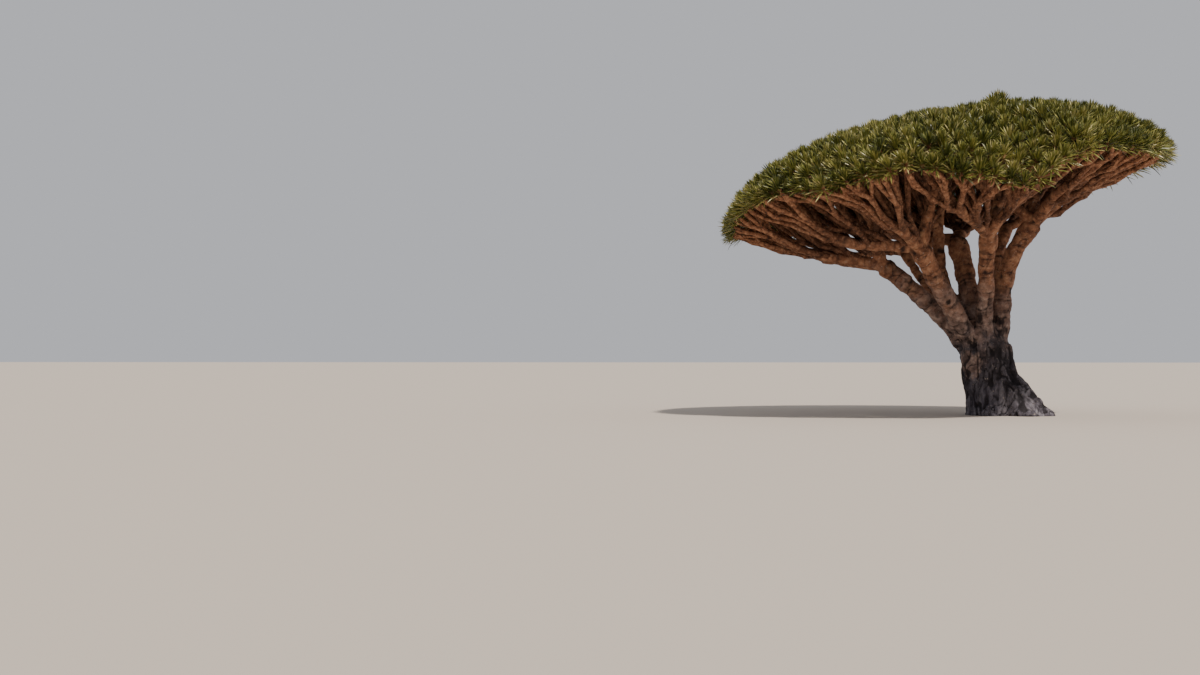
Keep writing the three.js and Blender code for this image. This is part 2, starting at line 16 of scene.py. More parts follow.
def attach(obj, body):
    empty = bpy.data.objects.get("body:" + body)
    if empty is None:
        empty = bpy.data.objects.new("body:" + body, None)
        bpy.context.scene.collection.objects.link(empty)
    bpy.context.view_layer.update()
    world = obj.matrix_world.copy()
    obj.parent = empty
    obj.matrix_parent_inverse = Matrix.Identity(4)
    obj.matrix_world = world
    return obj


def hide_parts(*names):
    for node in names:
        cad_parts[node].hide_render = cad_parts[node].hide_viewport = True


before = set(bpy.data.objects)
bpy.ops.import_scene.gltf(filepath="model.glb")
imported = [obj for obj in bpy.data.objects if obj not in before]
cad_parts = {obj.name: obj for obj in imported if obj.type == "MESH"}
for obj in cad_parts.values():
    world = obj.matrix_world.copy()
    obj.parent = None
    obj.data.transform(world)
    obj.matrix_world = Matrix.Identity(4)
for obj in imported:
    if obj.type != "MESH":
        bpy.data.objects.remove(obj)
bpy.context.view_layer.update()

UP = Vector((0, 0, 1))
FULL_TURN = 2 * math.pi
GOLDEN_TURN = 2.39996  # from one leaf of a rosette to the next, in radians

# The crown's envelope, as in the solids: a flattened dome on a rim plane that rises towards +X.
CROWN_MIDDLE = Vector((-1.225, 0, 4.75))
CROWN_TILT = math.radians(9)
CROWN_REACH = 4.99
CROWN_RISE = 1.90
CROWN_FULLNESS = 0.6
PEAK_SHIFT = 0.13
# Where the rim leaves its plane: heading and spread in degrees, and how far.
RIM_BENDS = [(184, 16, -0.14), (224, 22, 0.30), (262, 11, 0.20), (291, 12, -0.43), (310, 10, 0.13)]

# The trunk: a waist, a foot that flares most towards +X, and a head where the boughs part.
TRUNK_HEAD = 1.70
TRUNK_CROTCH = 2.05
TRUNK_LEAN = -0.36
TRUNK_SIDES = 90
LOWEST_RING, RING_STEP, CROTCH_RING = 0.03, 0.05, 1.85
WAIST_RADIUS = 0.535
WAIST_HEIGHT = 1.10
FOOT_RADIUS = 0.65
NARROWS_FROM = 1.45  # the height from where it narrows towards its crotch
NARROWS_BY = 0.55  # of its radius
RIBS = [(0.022, 5, 1.1), (0.014, 9, -1.7)]  # how proud, how many, and their twist to the metre
FLARE_HEIGHT = 0.33
BUTTRESS_HEIGHT = 0.85
ROOT_COUNT = 7
ROOT_JITTER = 0.25  # of the room between two roots
ROOT_LEAST, ROOT_MOST = 0.12, 0.26
ROOT_HEADING = math.radians(-8)
ROOT_BUTTRESS = 0.34
ROOT_SPREAD = 0.34  # in radians round the trunk

# Main boughs: name, heading, foot and fork as (out, up), steepness at both ends in degrees, foot radius.
BOUGHS = [
    ("right", -6, (0.372, 1.90), (1.045, 4.11), (81, 50), 0.202),
    ("back_right", 61, (0.36, 1.95), (1.00, 4.08), (84, 52), 0.138),
    ("back", 116, (0.34, 1.90), (1.33, 3.85), (72, 66), 0.230),
    ("back_left", 141, (0.44, 1.90), (1.26, 3.98), (38, 97), 0.145),
    ("low_back_left", 160, (0.52, 1.64), (1.82, 3.55), (54, 57), 0.105),
    ("left", 188, (0.55, 1.68), (2.12, 3.21), (52, 33), 0.200),
    ("front_left", 230, (0.56, 1.76), (1.96, 3.49), (45, 57), 0.212),
    ("front", 274, (0.34, 1.83), (1.48, 3.76), (76, 56), 0.190),
]
BOUGH_ROOTED = 0.62  # how deep a bough's foot is sunk in the trunk
BOUGH_TAPER = 0.92
BOUGH_SIDES, BRANCH_SIDES = 18, 12
BRANCH_ROOTED = 0.35  # of the bough's radius
BRANCH_FOLLOWS = 0.15  # how far a branch sets off along its bough, from 0 to 1
BRANCH_TURNS = 0.5  # how far its end points to its mass's aim, from 0 to 1
BRANCH_SHARE = 0.74
BRANCH_TAPER = 0.7
LIMB_PULL = 0.38
LIMB_STEP = 0.07
CROOKED = 0.035
CROOKS = 1.3  # to the metre
BEAT_LENGTH = 0.55  # along a limb, from one swelling to the next
BEAT_SWELLING = 0.05  # of the radius
BOUGH_SWELLING, BRANCH_SWELLING = 0.14, 0.16  # of the radius, under the fork
FORK_LENGTH = 0.30

# Masses of foliage in rings: name, count, place, first turn, entry and aim as (share of the reach, height
# over the rim plane), and how much higher the entry is at the crown's raised side than midway.
RINGS = [
    ("top", 3, 0.25, 85, (0.16, 0.56), (0.25, 1.30), 0.0),
    ("middle", 7, 0.58, 10, (0.41, 0.06), (0.56, 0.90), 0.14),
    ("rim", 13, 0.87, 0, (0.58, -0.60), (0.96, 0.0), 0.25),
]
MASS_DEPTH = 0.59
SPACE_APEX = Vector((TRUNK_LEAN, 0, 1.9))  # the masses' spaces are wedges that meet here

# Rosettes, closer than in the solids, on rings along the dome's curve.
SPACING = 0.285
ROSETTE_DEPTH = 0.32
ROSETTE_SCATTER = (-0.03, 0.09)  # deeper by
ROSETTE_LIFT = (0.2, 1.3)  # how much of straight up is added to the dome's own direction
ROSETTE_WOBBLE = 0.14
ROSETTE_SIZES = (0.86, 1.1)
RING_SHIFT = 0.02  # of the way out, by which a rosette leaves its ring at most
RING_JITTER = 0.2  # of the room between two rosettes, by which one is off its even place at most
OUTMOST = 0.995  # of the way out, which no rosette passes
RIM_SHARE = 0.97  # of the way out, from where rosettes are rim ones, some of which hang lower in front
RIM_HANG = 0.13
SHOULDER = Vector((-2.0, 0.6))  # where the dome bulges a little on its low side
SHOULDER_REACH = 1.0
SHOULDER_RISE = 0.15
TUFT_PLACE = Vector((-0.2, -1.7))  # of the rosettes that stand proud of the crown
TUFT_ROSETTES = 3
TUFT_RAISED = 0.21

# Twigs: side twigs leave the branches, and all fork down to one for each rosette.
STEM_SHARE = 0.22  # of the way to a mass's aim
INNER_FED = 0.54  # of a mass's rosettes, the inmost, hang on twigs from the branch's nearer half
INNER_TWIGS = (0.14, 0.30, 0.46)  # how far along the branch those leave it
OUTER_FED = (0.62, 0.80)  # where the twigs to the outer rosettes on both sides leave it
FORKS_LOW = 0.8  # how near a mass's underside its first forks keep, from 0 to 1
FORKS_EARLY, FORKS_LATE = 0.85, 1.2  # how far along its share of the way a twig forks
TWIG_SWAY = 0.19  # of its length
SIDE_TWIG_TURN = 0.6  # how far a side twig turns off its branch at once, from 0 to 1
FORK_FOLLOWS = 0.3  # how far a twig sets off along the one that it grows from, from 0 to 1
TWIG_FOLLOWS = 0.35  # how far its end keeps the direction of its start, from 0 to 1
TWIG_RADIUS = 0.046
TWIG_GIRTH = 0.24  # power by which a twig's radius grows with the rosettes that it feeds
TWIG_STEP = 0.07
TWIG_SUNK = 0.04  # of its length, in the twig that it grows from
TWIG_WAIST = 0.84  # of its radius, midway
TWIG_ENDS = 0.34  # how much thicker it is at its ends
OUTER_TWIGS = 0.72  # of the reach, from where twigs count as outer ones and are rounder
OUTER_SIDES, INNER_SIDES = 8, 6

# Leaves of a rosette, from its lowest to its middle. A spread is the usual error of a seeded number.
LEAVES = 84
LEAF_LENGTH = 0.30
LOWEST_LENGTH = 1.14  # of that length, for the lowest leaf
MIDDLE_SHORTER = 0.32  # of that length, by which the middle leaf falls short of the lowest
LEAF_LENGTHS = (0.86, 1.08)  # of what its place gives a leaf
LEAF_WIDTH = 0.027
LOWEST_LEAF = math.radians(4)
HIGHEST_LEAF = math.radians(86)
TURN_SPREAD = 0.12
RISE_SPREAD = 0.09
TWIST_SPREAD = 0.45
BEND, BEND_SPREAD = 0.30, 0.14
LEAST_BEND, MOST_BEND = -0.05, 0.8
FOOT_RISE = 0.15  # how much higher the middle leaf starts than the lowest
FOOT_SUNK = 0.11  # how far under the twig's tip the lowest leaf starts
FOOT_OUT = 0.045  # and how far beside its axis
LEAF_STATIONS = (0.0, 0.40, 0.76, 1.0)
LEAF_WIDTHS = (0.9, 1.0, 0.72)
ROSETTE_TINTS = 0.45  # how far rosettes differ in their green, from 0 to 1
TINT_SPREAD = 0.24  # and the leaves of one rosette

# Relief of the bark: how proud or how deep each mark is.
FURROW, CRACK, FINE_CRACK, PIT = 0.026, 0.034, 0.016, 0.12
TRUNK_LUMP, TRUNK_KNOB = 0.034, 0.010
LIMB_LUMP, LIMB_KNOB = 0.016, 0.013
RING_CREASE, LIMB_SPLIT = 0.012, 0.012
GRAIN = 0.005
TWIG_KNOB, TWIG_LUMP = 0.010, 0.012
FURROWS_TO = 2.5  # the height where furrows have given way to creases
FURROWS_FADE = 1.2
# Old holes: place, direction into the wood, size.
KNOTS = [
    ((-0.56, -0.42, 1.50), (0.1, 0.5, 0), 0.085),
    ((-1.07, -1.14, 2.40), (0, 1, 0), 0.055),
]
KNOT_DEPTH, KNOT_LIP = 1.3, 0.4  # of its size
KNOT_TALL = 1.25  # times as tall as it is wide
# Painted shade in a knot hole, and painted light on its raised lip.
KNOT_SHADE, LIP_LIGHT = 1.2, 0.4
SKIN_VOXEL = 0.024
SKIN_SOFTENING = 7
GROUND_FADE = 0.06  # under this height relief no longer reaches up or down
GROUND_FLAT = 0.012  # under this one the skin lies on the ground
BARK_SPLIT = 2.35  # the height where the trunk's bark hands over to the boughs'
CRACK_SHADE_NAME = "painted_crack_shade"

# Bark, from its furrows to its ridges, each colour with where it lies in the noise.
GREY = [(0.36, (0.040, 0.034, 0.042)), (0.50, (0.115, 0.102, 0.118)), (0.66, (0.27, 0.245, 0.265))]
BROWN = [(0.34, (0.088, 0.058, 0.050)), (0.52, (0.225, 0.152, 0.128)), (0.68, (0.40, 0.29, 0.24))]
RUST = [(0.34, (0.105, 0.044, 0.026)), (0.52, (0.295, 0.138, 0.077)), (0.68, (0.46, 0.25, 0.145))]
# A nearly black band on the trunk: painted shade under the crown.
TRUNK_SHADE_COLOUR = (0.028, 0.022, 0.024)
# Pale specks on the bark: painted highlights.
BARK_HIGHLIGHT = (0.42, 0.35, 0.29)
# The colour of painted shade in cracks, pits and knot holes.
CRACK_SHADE_COLOUR = (0.012, 0.009, 0.010)
BROWN_PATCH_PLACE = (-0.75, -0.45, 1.08)  # where the trunk is brown instead of grey
# Bark of the twigs, also with pale specks that are painted highlights: bright near the rim, dim in the
# crown's shade, where a dimmer copy of both is painted as shade.
OUTER_BARK = [(0.36, (0.042, 0.015, 0.008)), (0.50, (0.27, 0.115, 0.058)), (0.64, (0.55, 0.29, 0.165))]
SHADED_TWIG_BARK = [(0.36, (0.018, 0.007, 0.004)), (0.50, (0.110, 0.046, 0.025)), (0.64, (0.26, 0.125, 0.070))]
TWIG_HIGHLIGHT = (0.70, 0.49, 0.36)
SHADED_TWIG_HIGHLIGHT = (0.38, 0.24, 0.16)
SHADED, SUNLIT = 0.50, 0.84  # of the reach, between which one turns to the other

# Greens of the leaves: name, darker and lighter shade, and about how many of all leaves wear it.
GREENS = [
    ("deep", (0.026, 0.036, 0.008), (0.060, 0.074, 0.014), 0.26),
    ("mid", (0.085, 0.098, 0.018), (0.155, 0.162, 0.032), 0.24),
    ("fresh", (0.160, 0.165, 0.028), (0.260, 0.250, 0.056), 0.22),
    ("olive", (0.245, 0.225, 0.050), (0.390, 0.350, 0.105), 0.18),
    ("straw", (0.360, 0.310, 0.110), (0.560, 0.490, 0.220), 0.10),
]

# The view of the photo: a 50 mm lens on a 36 mm frame, the tree right of the middle.
CAMERA_PLACE = (0.0, -36.93, 1.2)
CAMERA_TURN = math.radians(13.53)
CAMERA_PITCH = math.radians(0.749)
LENS, SENSOR = 50, 36
VIEW_LENGTH = 2000
FLOOR_HALF = 600
FLOOR_COLOUR = (0.52, 0.45, 0.38, 1)
SKY_COLOUR = (0.66, 0.67, 0.71, 1)
SKY_STRENGTH = 0.8
SUN_STRENGTH = 4.2
SUN_WIDTH = math.radians(3)
SUN_COLOUR = (1.0, 0.94, 0.86)
SUN_TURN = (math.radians(22), math.radians(24), 0)


class Dice:
    """The same even numbers on every run, from 0 to 1."""

    def __init__(self, seed):
        self.state = seed

    def roll(self):
        self.state = (self.state * 16807) % 2147483647
        return self.state / 2147483647

    def between(self, low, high):
        return low + (high - low) * self.roll()


def mix(a, b, share):
    return a + (b - a) * share


def heading_vector(angle):
    return Vector((math.cos(angle), math.sin(angle), 0))


# The crown's shape.


ALONG = Vector((math.cos(CROWN_TILT), 0, math.sin(CROWN_TILT)))
ACROSS = Vector((0, 1, 0))
SQUARE = Vector((-math.sin(CROWN_TILT), 0, math.cos(CROWN_TILT)))


def crown_place(along, across, height):
    return CROWN_MIDDLE + ALONG * along + ACROSS * across + SQUARE * height


def rim_bend(place, turn):
    """How far the crown is lifted off the rim plane at a share of the way to the rim."""
    lift = 0
    for heading, spread, by in RIM_BENDS:
        off = math.remainder(turn - math.radians(heading), FULL_TURN) / math.radians(spread)
        lift += by * math.exp(-off * off)
    return lift * place**3


def crown_point(place, turn, depth):
    """A point depth under the leaf tips, place of the way to the rim, in the direction turn."""
    out = (CROWN_REACH - depth) * place
    swell = max(0.0, 1 - place * place) ** CROWN_FULLNESS
    along = out * math.cos(turn) + PEAK_SHIFT * swell
    height = (CROWN_RISE - depth) * swell + rim_bend(place, turn)
    return crown_place(along, out * math.sin(turn), height)


def crown_normal(place, turn):
    step = 0.01
    at = min(0.98, max(place, 2 * step))
    outward = crown_point(at + step, turn, 0) - crown_point(at - step, turn, 0)
    around = crown_point(at, turn + step, 0) - crown_point(at, turn - step, 0)
    return outward.cross(around).normalized()


def crown_sites(dice, spacing):
    """Places for rosettes in rings along the dome's curve, the last ring on the rim."""
    steps = 400
    flank = [crown_point(i / steps, math.pi / 2, ROSETTE_DEPTH) for i in range(steps + 1)]
    lengths = [0.0]
    for a, b in zip(flank, flank[1:]):
        lengths.append(lengths[-1] + (b - a).length)
    rings = round(lengths[-1] / spacing)
    sites = [(0.0, 0.0)]
    for r in range(1, rings + 1):
        wanted = r / rings * lengths[-1] - 1e-9
        along = next(i for i, length in enumerate(lengths) if length >= wanted)
        count = round(FULL_TURN * (CROWN_REACH - ROSETTE_DEPTH) * (along / steps) / spacing)
        start = dice.between(0, FULL_TURN)
        for i in range(count):
            shift = dice.between(-RING_SHIFT, RING_SHIFT) if r < rings else 0
            place = min(OUTMOST, along / steps + shift)
            jitter = dice.between(-RING_JITTER, RING_JITTER)
            sites.append((place, start + (i + jitter) * FULL_TURN / count))
    return sites


# The skeleton.


class Limb:
    """A smooth line from start to end, with its radius at both."""

    def __init__(self, start, start_heading, end, end_heading, foot_radius, tip_radius):
        pull = (end - start).length * LIMB_PULL
        self.ends = (start, start + start_heading * pull, end - end_heading * pull, end)
        self.foot_radius = foot_radius
        self.tip_radius = tip_radius
        self.length = sum((self.at(i / 12) - self.at((i + 1) / 12)).length for i in range(12))

    def at(self, t):
        a, b, c, d = self.ends
        s = 1 - t
        return a * s**3 + b * (3 * s * s * t) + c * (3 * s * t * t) + d * t**3

    def heading(self, t):
        a, b, c, d = self.ends
        s = 1 - t
        return ((b - a) * (s * s) + (c - b) * (2 * s * t) + (d - c) * (t * t)).normalized()

    def radius(self, t):
        return mix(self.foot_radius, self.tip_radius, t)


def trunk_axis(z):
    return Vector((TRUNK_LEAN * math.sin(min(1, z / TRUNK_HEAD) * math.pi / 2), 0, z))


def grow_boughs():
    boughs = []
    for name, heading, foot, fork, steep, girth in BOUGHS:
        outward = heading_vector(math.radians(heading))
        head = trunk_axis(TRUNK_HEAD)
        foot_at, fork_at = [
            Vector((head.x + outward.x * out, outward.y * out, up)) for out, up in (foot, fork)
        ]
        leaving, reaching = [
            outward * math.cos(math.radians(s)) + UP * math.sin(math.radians(s)) for s in steep
        ]
        start = foot_at - leaving * BOUGH_ROOTED
        limb = Limb(start, leaving, fork_at, reaching, girth, girth * BOUGH_TAPER)
        boughs.append({"name": name, "limb": limb})
    return boughs


def under_crown(share, height, turn):
    out = CROWN_REACH * share
    return crown_place(out * math.cos(turn), out * math.sin(turn), height + rim_bend(share, turn))


def place_masses(boughs):
    """The masses, each fed by the bough whose fork is nearest where the mass is entered."""
    masses = []
    for name, count, place, first, entry, aim, slant in RINGS:
        for i in range(count):
            turn = math.radians(first) + FULL_TURN * i / count
            centre = crown_point(place, turn, MASS_DEPTH)
            mass = {
                "name": f"{name}_{i + 1}",
                "toward": (centre - SPACE_APEX).normalized(),
                "entry": under_crown(entry[0], entry[1] + slant * math.cos(turn), turn),
                "aim": under_crown(*aim, turn),
                "sites": [],
            }
            mass["bough"] = min(boughs, key=lambda b: (b["limb"].at(1) - mass["entry"]).length)
            masses.append(mass)
    return masses


def grow_branch(mass):
    """The branch from a bough's fork to where it enters its mass."""
    parent = mass["bough"]["limb"]
    fork = parent.at(1)
    heading = (mass["entry"] - fork).normalized()
    start = fork - heading * (BRANCH_ROOTED * parent.tip_radius)
    start_heading = heading.lerp(parent.heading(1), BRANCH_FOLLOWS).normalized()
    onward = (mass["aim"] - mass["entry"]).normalized()
    end_heading = heading.lerp(onward, BRANCH_TURNS).normalized()
    foot = parent.tip_radius * BRANCH_SHARE
    return Limb(start, start_heading, mass["entry"], end_heading, foot, foot * BRANCH_TAPER)


def share_sites(masses):
    """Gives each rosette's place to the mass whose space holds it."""
    dice = Dice(1618)
    for place, turn in crown_sites(Dice(2718), SPACING):
        base = crown_point(place, turn, ROSETTE_DEPTH + dice.between(*ROSETTE_SCATTER))
        if place > RIM_SHARE:
            base = base - UP * (RIM_HANG * max(0, -math.sin(turn)) * dice.roll() ** 2)
        off_shoulder = (base.xy - SHOULDER).length / SHOULDER_REACH
        base = base + UP * (SHOULDER_RISE * math.exp(-(off_shoulder**2)))
        reach = base - SPACE_APEX
        mass = max(masses, key=lambda m: reach.dot(m["toward"]))
        axis = (crown_normal(place, turn) + UP * dice.between(*ROSETTE_LIFT)).normalized()
        wobble = Vector([dice.between(-ROSETTE_WOBBLE, ROSETTE_WOBBLE) for _ in range(3)])
        mass["sites"].append({
            "base": base,
            "axis": (axis + wobble).normalized(),
            "size": dice.between(*ROSETTE_SIZES),
            "tint": dice.roll(),
        })


def middle_of(sites):
    total = Vector((0, 0, 0))
    for s in sites:
        total = total + s["base"]
    return total / len(sites)


def halves(sites, mass):
    """Halves a group of rosettes along its longer side, as the twigs under it fork."""
    out = Vector((mass["toward"].x, mass["toward"].y, 0)).normalized()
    around = out.cross(UP)

    def spread(line):
        along = [s["base"].dot(line) for s in sites]
        return max(along) - min(along)

    line = out if spread(out) > spread(around) else around
    ordered = sorted(sites, key=lambda s: s["base"].dot(line))
    middle = (len(ordered) + 1) // 2
    return ordered[:middle], ordered[middle:]


def in_crown(point):
    """How far out from the crown's middle a point is, and how high over the rim plane."""
    across = point - CROWN_MIDDLE
    return math.hypot(across.dot(ALONG), across.dot(ACROSS)), across.dot(SQUARE)


def target_of(sites, mass):
    """Where twigs that feed these rosettes make for.

    It is under their middle. The more they feed, the nearer it is to the mass's underside, which runs from
    the mass's entry to its aim.
    """
    middle = middle_of(sites)
    out, height = in_crown(middle)
    entry_out, entry_height = in_crown(mass["entry"])
    aim_out, aim_height = in_crown(mass["aim"])
    share = min(1, max(0, (out - entry_out) / (aim_out - entry_out)))
    above = max(0, height - mix(entry_height, aim_height, share))
    low = FORKS_LOW * min(1, math.log2(len(sites)) / 3)
    return middle - SQUARE * (above * low)


def girth(count, most):
    """The radius of a twig that feeds so many rosettes."""
    return min(most, TWIG_RADIUS * count**TWIG_GIRTH)


def grow_twigs(start, heading, sites, mass, radius, twigs, dice, stem=False):
    """Twigs fork towards ever smaller groups of rosettes, down to one twig for each."""
    if len(sites) == 1:
        site = sites[0]
        twigs.append(Limb(start, heading, site["base"], site["axis"], radius, TWIG_RADIUS))
        return
    target = mass["aim"] if stem else target_of(sites, mass)
    links_left = math.log2(len(sites)) + 1
    share = STEM_SHARE if stem else dice.between(FORKS_EARLY, FORKS_LATE) / links_left
    fork = start.lerp(target, share)
    sway = Vector([dice.between(-1, 1) for _ in range(3)]) * (TWIG_SWAY * (fork - start).length)
    if not stem:
        fork = fork + sway
    onward = (fork - start).normalized().lerp(heading, TWIG_FOLLOWS).normalized()
    twig = Limb(start, heading, fork, onward, radius, girth(len(sites), radius))
    twigs.append(twig)
    for group in halves(sites, mass):
        toward = (target_of(group, mass) - fork).normalized()
        toward = toward.lerp(twig.heading(1), FORK_FOLLOWS).normalized()
        grow_twigs(fork, toward, group, mass, girth(len(group), twig.tip_radius), twigs, dice)


def feed_mass(mass, dice):
    """A mass's twigs: side twigs leave its branch one by one, and its stem feeds what is left."""
    branch = mass["branch"]
    ordered = sorted(mass["sites"], key=lambda s: in_crown(s["base"])[0])
    inner = round(len(ordered) * INNER_FED)
    around = Vector((mass["toward"].x, mass["toward"].y, 0)).normalized().cross(UP)

    def thirds(sites):
        row = sorted(sites, key=lambda s: s["base"].dot(around))
        return [row[round(len(row) * k / 3) : round(len(row) * (k + 1) / 3)] for k in range(3)]

    left, middle, right = thirds(ordered[inner:])
    fed = [*zip(INNER_TWIGS, thirds(ordered[:inner])), *zip(OUTER_FED, (left, right))]
    twigs = []
    for t, group in fed:
        toward = (target_of(group, mass) - branch.at(t)).normalized()
        heading = branch.heading(t).lerp(toward, SIDE_TWIG_TURN).normalized()
        grow_twigs(branch.at(t), heading, group, mass, girth(len(group), branch.radius(t)), twigs, dice)
    grow_twigs(branch.at(1), branch.heading(1), middle, mass, branch.tip_radius, twigs, dice, stem=True)
    return twigs


# Meshes.


def lattice(cells, seed):
    """The same number from -1 to 1 for a cell on every run."""
    h = cells[..., 0] * 73856093 ^ cells[..., 1] * 19349663 ^ cells[..., 2] * 83492791 ^ seed * 2654435
    h = ((h ^ (h >> 13)) * 1274126177) & 0x7FFFFFFF
    return ((h ^ (h >> 16)) & 0xFFFF) / 32767.5 - 1


def noise(points, seed):
    """Smooth noise from -1 to 1 at many points at once, about one swell to a unit."""
    cells = np.floor(points).astype(np.int64)
    t = points - cells
    t = t * t * (3 - 2 * t)
    total = np.zeros(len(points))
    for dx in (0, 1):
        for dy in (0, 1):
            for dz in (0, 1):
                weight = (
                    (t[:, 0] if dx else 1 - t[:, 0])
                    * (t[:, 1] if dy else 1 - t[:, 1])
                    * (t[:, 2] if dz else 1 - t[:, 2])
                )
                total += weight * lattice(cells + np.array([dx, dy, dz]), seed)
    return total


def closed(rings, caps):
    """Corners and triangles of a tube through rings, with a point in the middle of both ends."""
    sides = len(rings[0])
    verts = np.vstack([*rings, caps])
    s = np.arange(sides)
    n = (s + 1) % sides
    faces = []
    for r in range(len(rings) - 1):
        a, b = r * sides + s, r * sides + n
        faces.append(np.stack([a, b, b + sides], 1))
        faces.append(np.stack([a, b + sides, a + sides], 1))
    low, high = len(verts) - 2, len(verts) - 1
    last = (len(rings) - 1) * sides
    faces.append(np.stack([np.full(sides, low), n, s], 1))
    faces.append(np.stack([np.full(sides, high), last + s, last + n], 1))
    return verts, np.vstack(faces)


def tube(points, radii, sides):
    """A closed tube through points: rings square to its line, and a blunt cap at each end."""
    points = np.array(points, float)
    ahead = np.gradient(points, axis=0)
    ahead /= np.linalg.norm(ahead, axis=1, keepdims=True)
    side = np.cross(ahead[0], [0.31, 0.87, 0.38])
    angles = np.arange(sides) * FULL_TURN / sides
    rings = []
    for point, heading, radius in zip(points, ahead, radii):
        side = side - heading * (side @ heading)
        side /= np.linalg.norm(side)
        other = np.cross(heading, side)
        rings.append(point + radius * (np.outer(np.cos(angles), side) + np.outer(np.sin(angles), other)))
    caps = [points[0] - ahead[0] * radii[0] * 0.5, points[-1] + ahead[-1] * radii[-1] * 0.5]
    return closed(rings, caps)


def joined(shapes):
    verts, faces, count = [], [], 0
    for v, f in shapes:
        verts.append(v)
        faces.append(f + count)
        count += len(v)
    return np.vstack(verts), np.vstack(faces)


def mesh_of(name, verts, faces):
    """A mesh from arrays of corners and triangles."""
    mesh = bpy.data.meshes.new(name)
    mesh.vertices.add(len(verts))
    mesh.vertices.foreach_set("co", np.asarray(verts, np.float32).ravel())
    mesh.loops.add(faces.size)
    mesh.loops.foreach_set("vertex_index", np.asarray(faces, np.int32).ravel())
    mesh.polygons.add(len(faces))
    mesh.polygons.foreach_set("loop_start", np.arange(0, faces.size, 3, dtype=np.int32))
    mesh.update(calc_edges=True)
    mesh.validate()
    return mesh


def piece(name, mesh, look, replaced, smooth=True):
    """Shows a mesh as a piece of the plant, in place of the nodes that it stands for."""
    mesh.materials.append(look)
    if smooth:
        mesh.shade_smooth()
    made = bpy.data.objects.new(name, mesh)
    bpy.context.scene.collection.objects.link(made)
    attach(made, "root")
    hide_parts(*replaced)


def vectors(mesh, kind):
    """A mesh's corners, or the normals at them, as an array."""
    values = np.empty(len(mesh.vertices) * 3, np.float32)
    mesh.vertices.foreach_get(kind, values)
    return values.reshape(-1, 3).astype(float)


def set_corners(mesh, co):
    mesh.vertices.foreach_set("co", np.asarray(co, np.float32).ravel())
    mesh.update()


def melted(name, verts, faces, voxel, softening):
    """One skin round overlapping closed shapes, its inner corners softened."""
    rough = bpy.data.objects.new(name, mesh_of(name, verts, faces))
    bpy.context.scene.collection.objects.link(rough)
    remesh = rough.modifiers.new("skin", "REMESH")
    remesh.mode = "VOXEL"
    remesh.voxel_size = voxel
    smooth = rough.modifiers.new("soften", "SMOOTH")
    smooth.factor = 0.5
    smooth.iterations = softening
    bpy.context.view_layer.update()
    graph = bpy.context.evaluated_depsgraph_get()
    result = bpy.data.meshes.new_from_object(rough.evaluated_get(graph))
    old = rough.data
    bpy.data.objects.remove(rough)
    bpy.data.meshes.remove(old)
    return result


# The trunk and boughs.


def trunk_shape():
    """The trunk's rings: its waist and ribs, the roots at its foot and the narrowing to its crotch."""
    dice = Dice(4711)
    roots = []
    for i in range(ROOT_COUNT):
        jitter = dice.between(-ROOT_JITTER, ROOT_JITTER)
        angle = ROOT_HEADING + (i + jitter) * FULL_TURN / ROOT_COUNT
        buttress = max(0, math.cos(angle - ROOT_HEADING)) * ROOT_BUTTRESS
        roots.append((angle, dice.between(ROOT_LEAST, ROOT_MOST), buttress))
    heights = [0.0, *np.arange(LOWEST_RING, TRUNK_HEAD, RING_STEP), TRUNK_HEAD, CROTCH_RING, TRUNK_CROTCH]
    rings = []
    for z in heights:
        flare = math.exp(-z / FLARE_HEIGHT)
        shoulder = math.exp(-((z / BUTTRESS_HEIGHT) ** 4))
        belly = min(1.0, ((z - WAIST_HEIGHT) / WAIST_HEIGHT) ** 2)
        share = 1 - NARROWS_BY * max(0, (z - NARROWS_FROM) / (TRUNK_CROTCH - NARROWS_FROM)) ** 1.3
        axis = trunk_axis(z)
        ring = []
        for s in range(TRUNK_SIDES):
            angle = FULL_TURN * s / TRUNK_SIDES
            radius = mix(WAIST_RADIUS, FOOT_RADIUS, belly)
            radius += sum(proud * math.sin(count * angle + z * twist) for proud, count, twist in RIBS)
            for root_angle, size, buttress in roots:
                off = math.atan2(math.sin(angle - root_angle), math.cos(angle - root_angle))
                radius += (size * flare + buttress * shoulder) * math.exp(-((off / ROOT_SPREAD) ** 2))
            ring.append(axis + heading_vector(angle) * (radius * share))
        rings.append(np.array(ring))
    return closed(rings, [rings[0].mean(0), rings[-1].mean(0)])


def limb_shape(limb, sides, seed, swelling):
    """A limb's tube: a little crooked, swollen in beats and under its fork."""
    steps = max(6, round(limb.length / LIMB_STEP))
    ts = np.linspace(0, 1, steps + 1)
    line = np.array([limb.at(t) for t in ts])
    way = ts * limb.length
    probe = np.stack([way * CROOKS, np.full_like(way, seed * 3.7), np.zeros_like(way)], 1)
    fade = np.clip(np.minimum(ts, 1 - ts) * 5, 0, 1)
    for axis in range(3):
        line[:, axis] += CROOKED * fade * noise(probe + 7.3 * axis, 11 + axis)
    radii = np.array([limb.radius(t) for t in ts])
    beats = 1 + BEAT_SWELLING * np.cos(FULL_TURN * way / BEAT_LENGTH + seed)
    fork = 1 + swelling * np.exp(-(((1 - ts) * limb.length / FORK_LENGTH) ** 2))
    return tube(line, radii * beats * fork, sides)


def crease(values, width):
    """Narrow lines where smooth noise crosses zero, from 0 beside them to 1 in their middle."""
    return np.maximum(0, 1 - np.abs(values) / width)


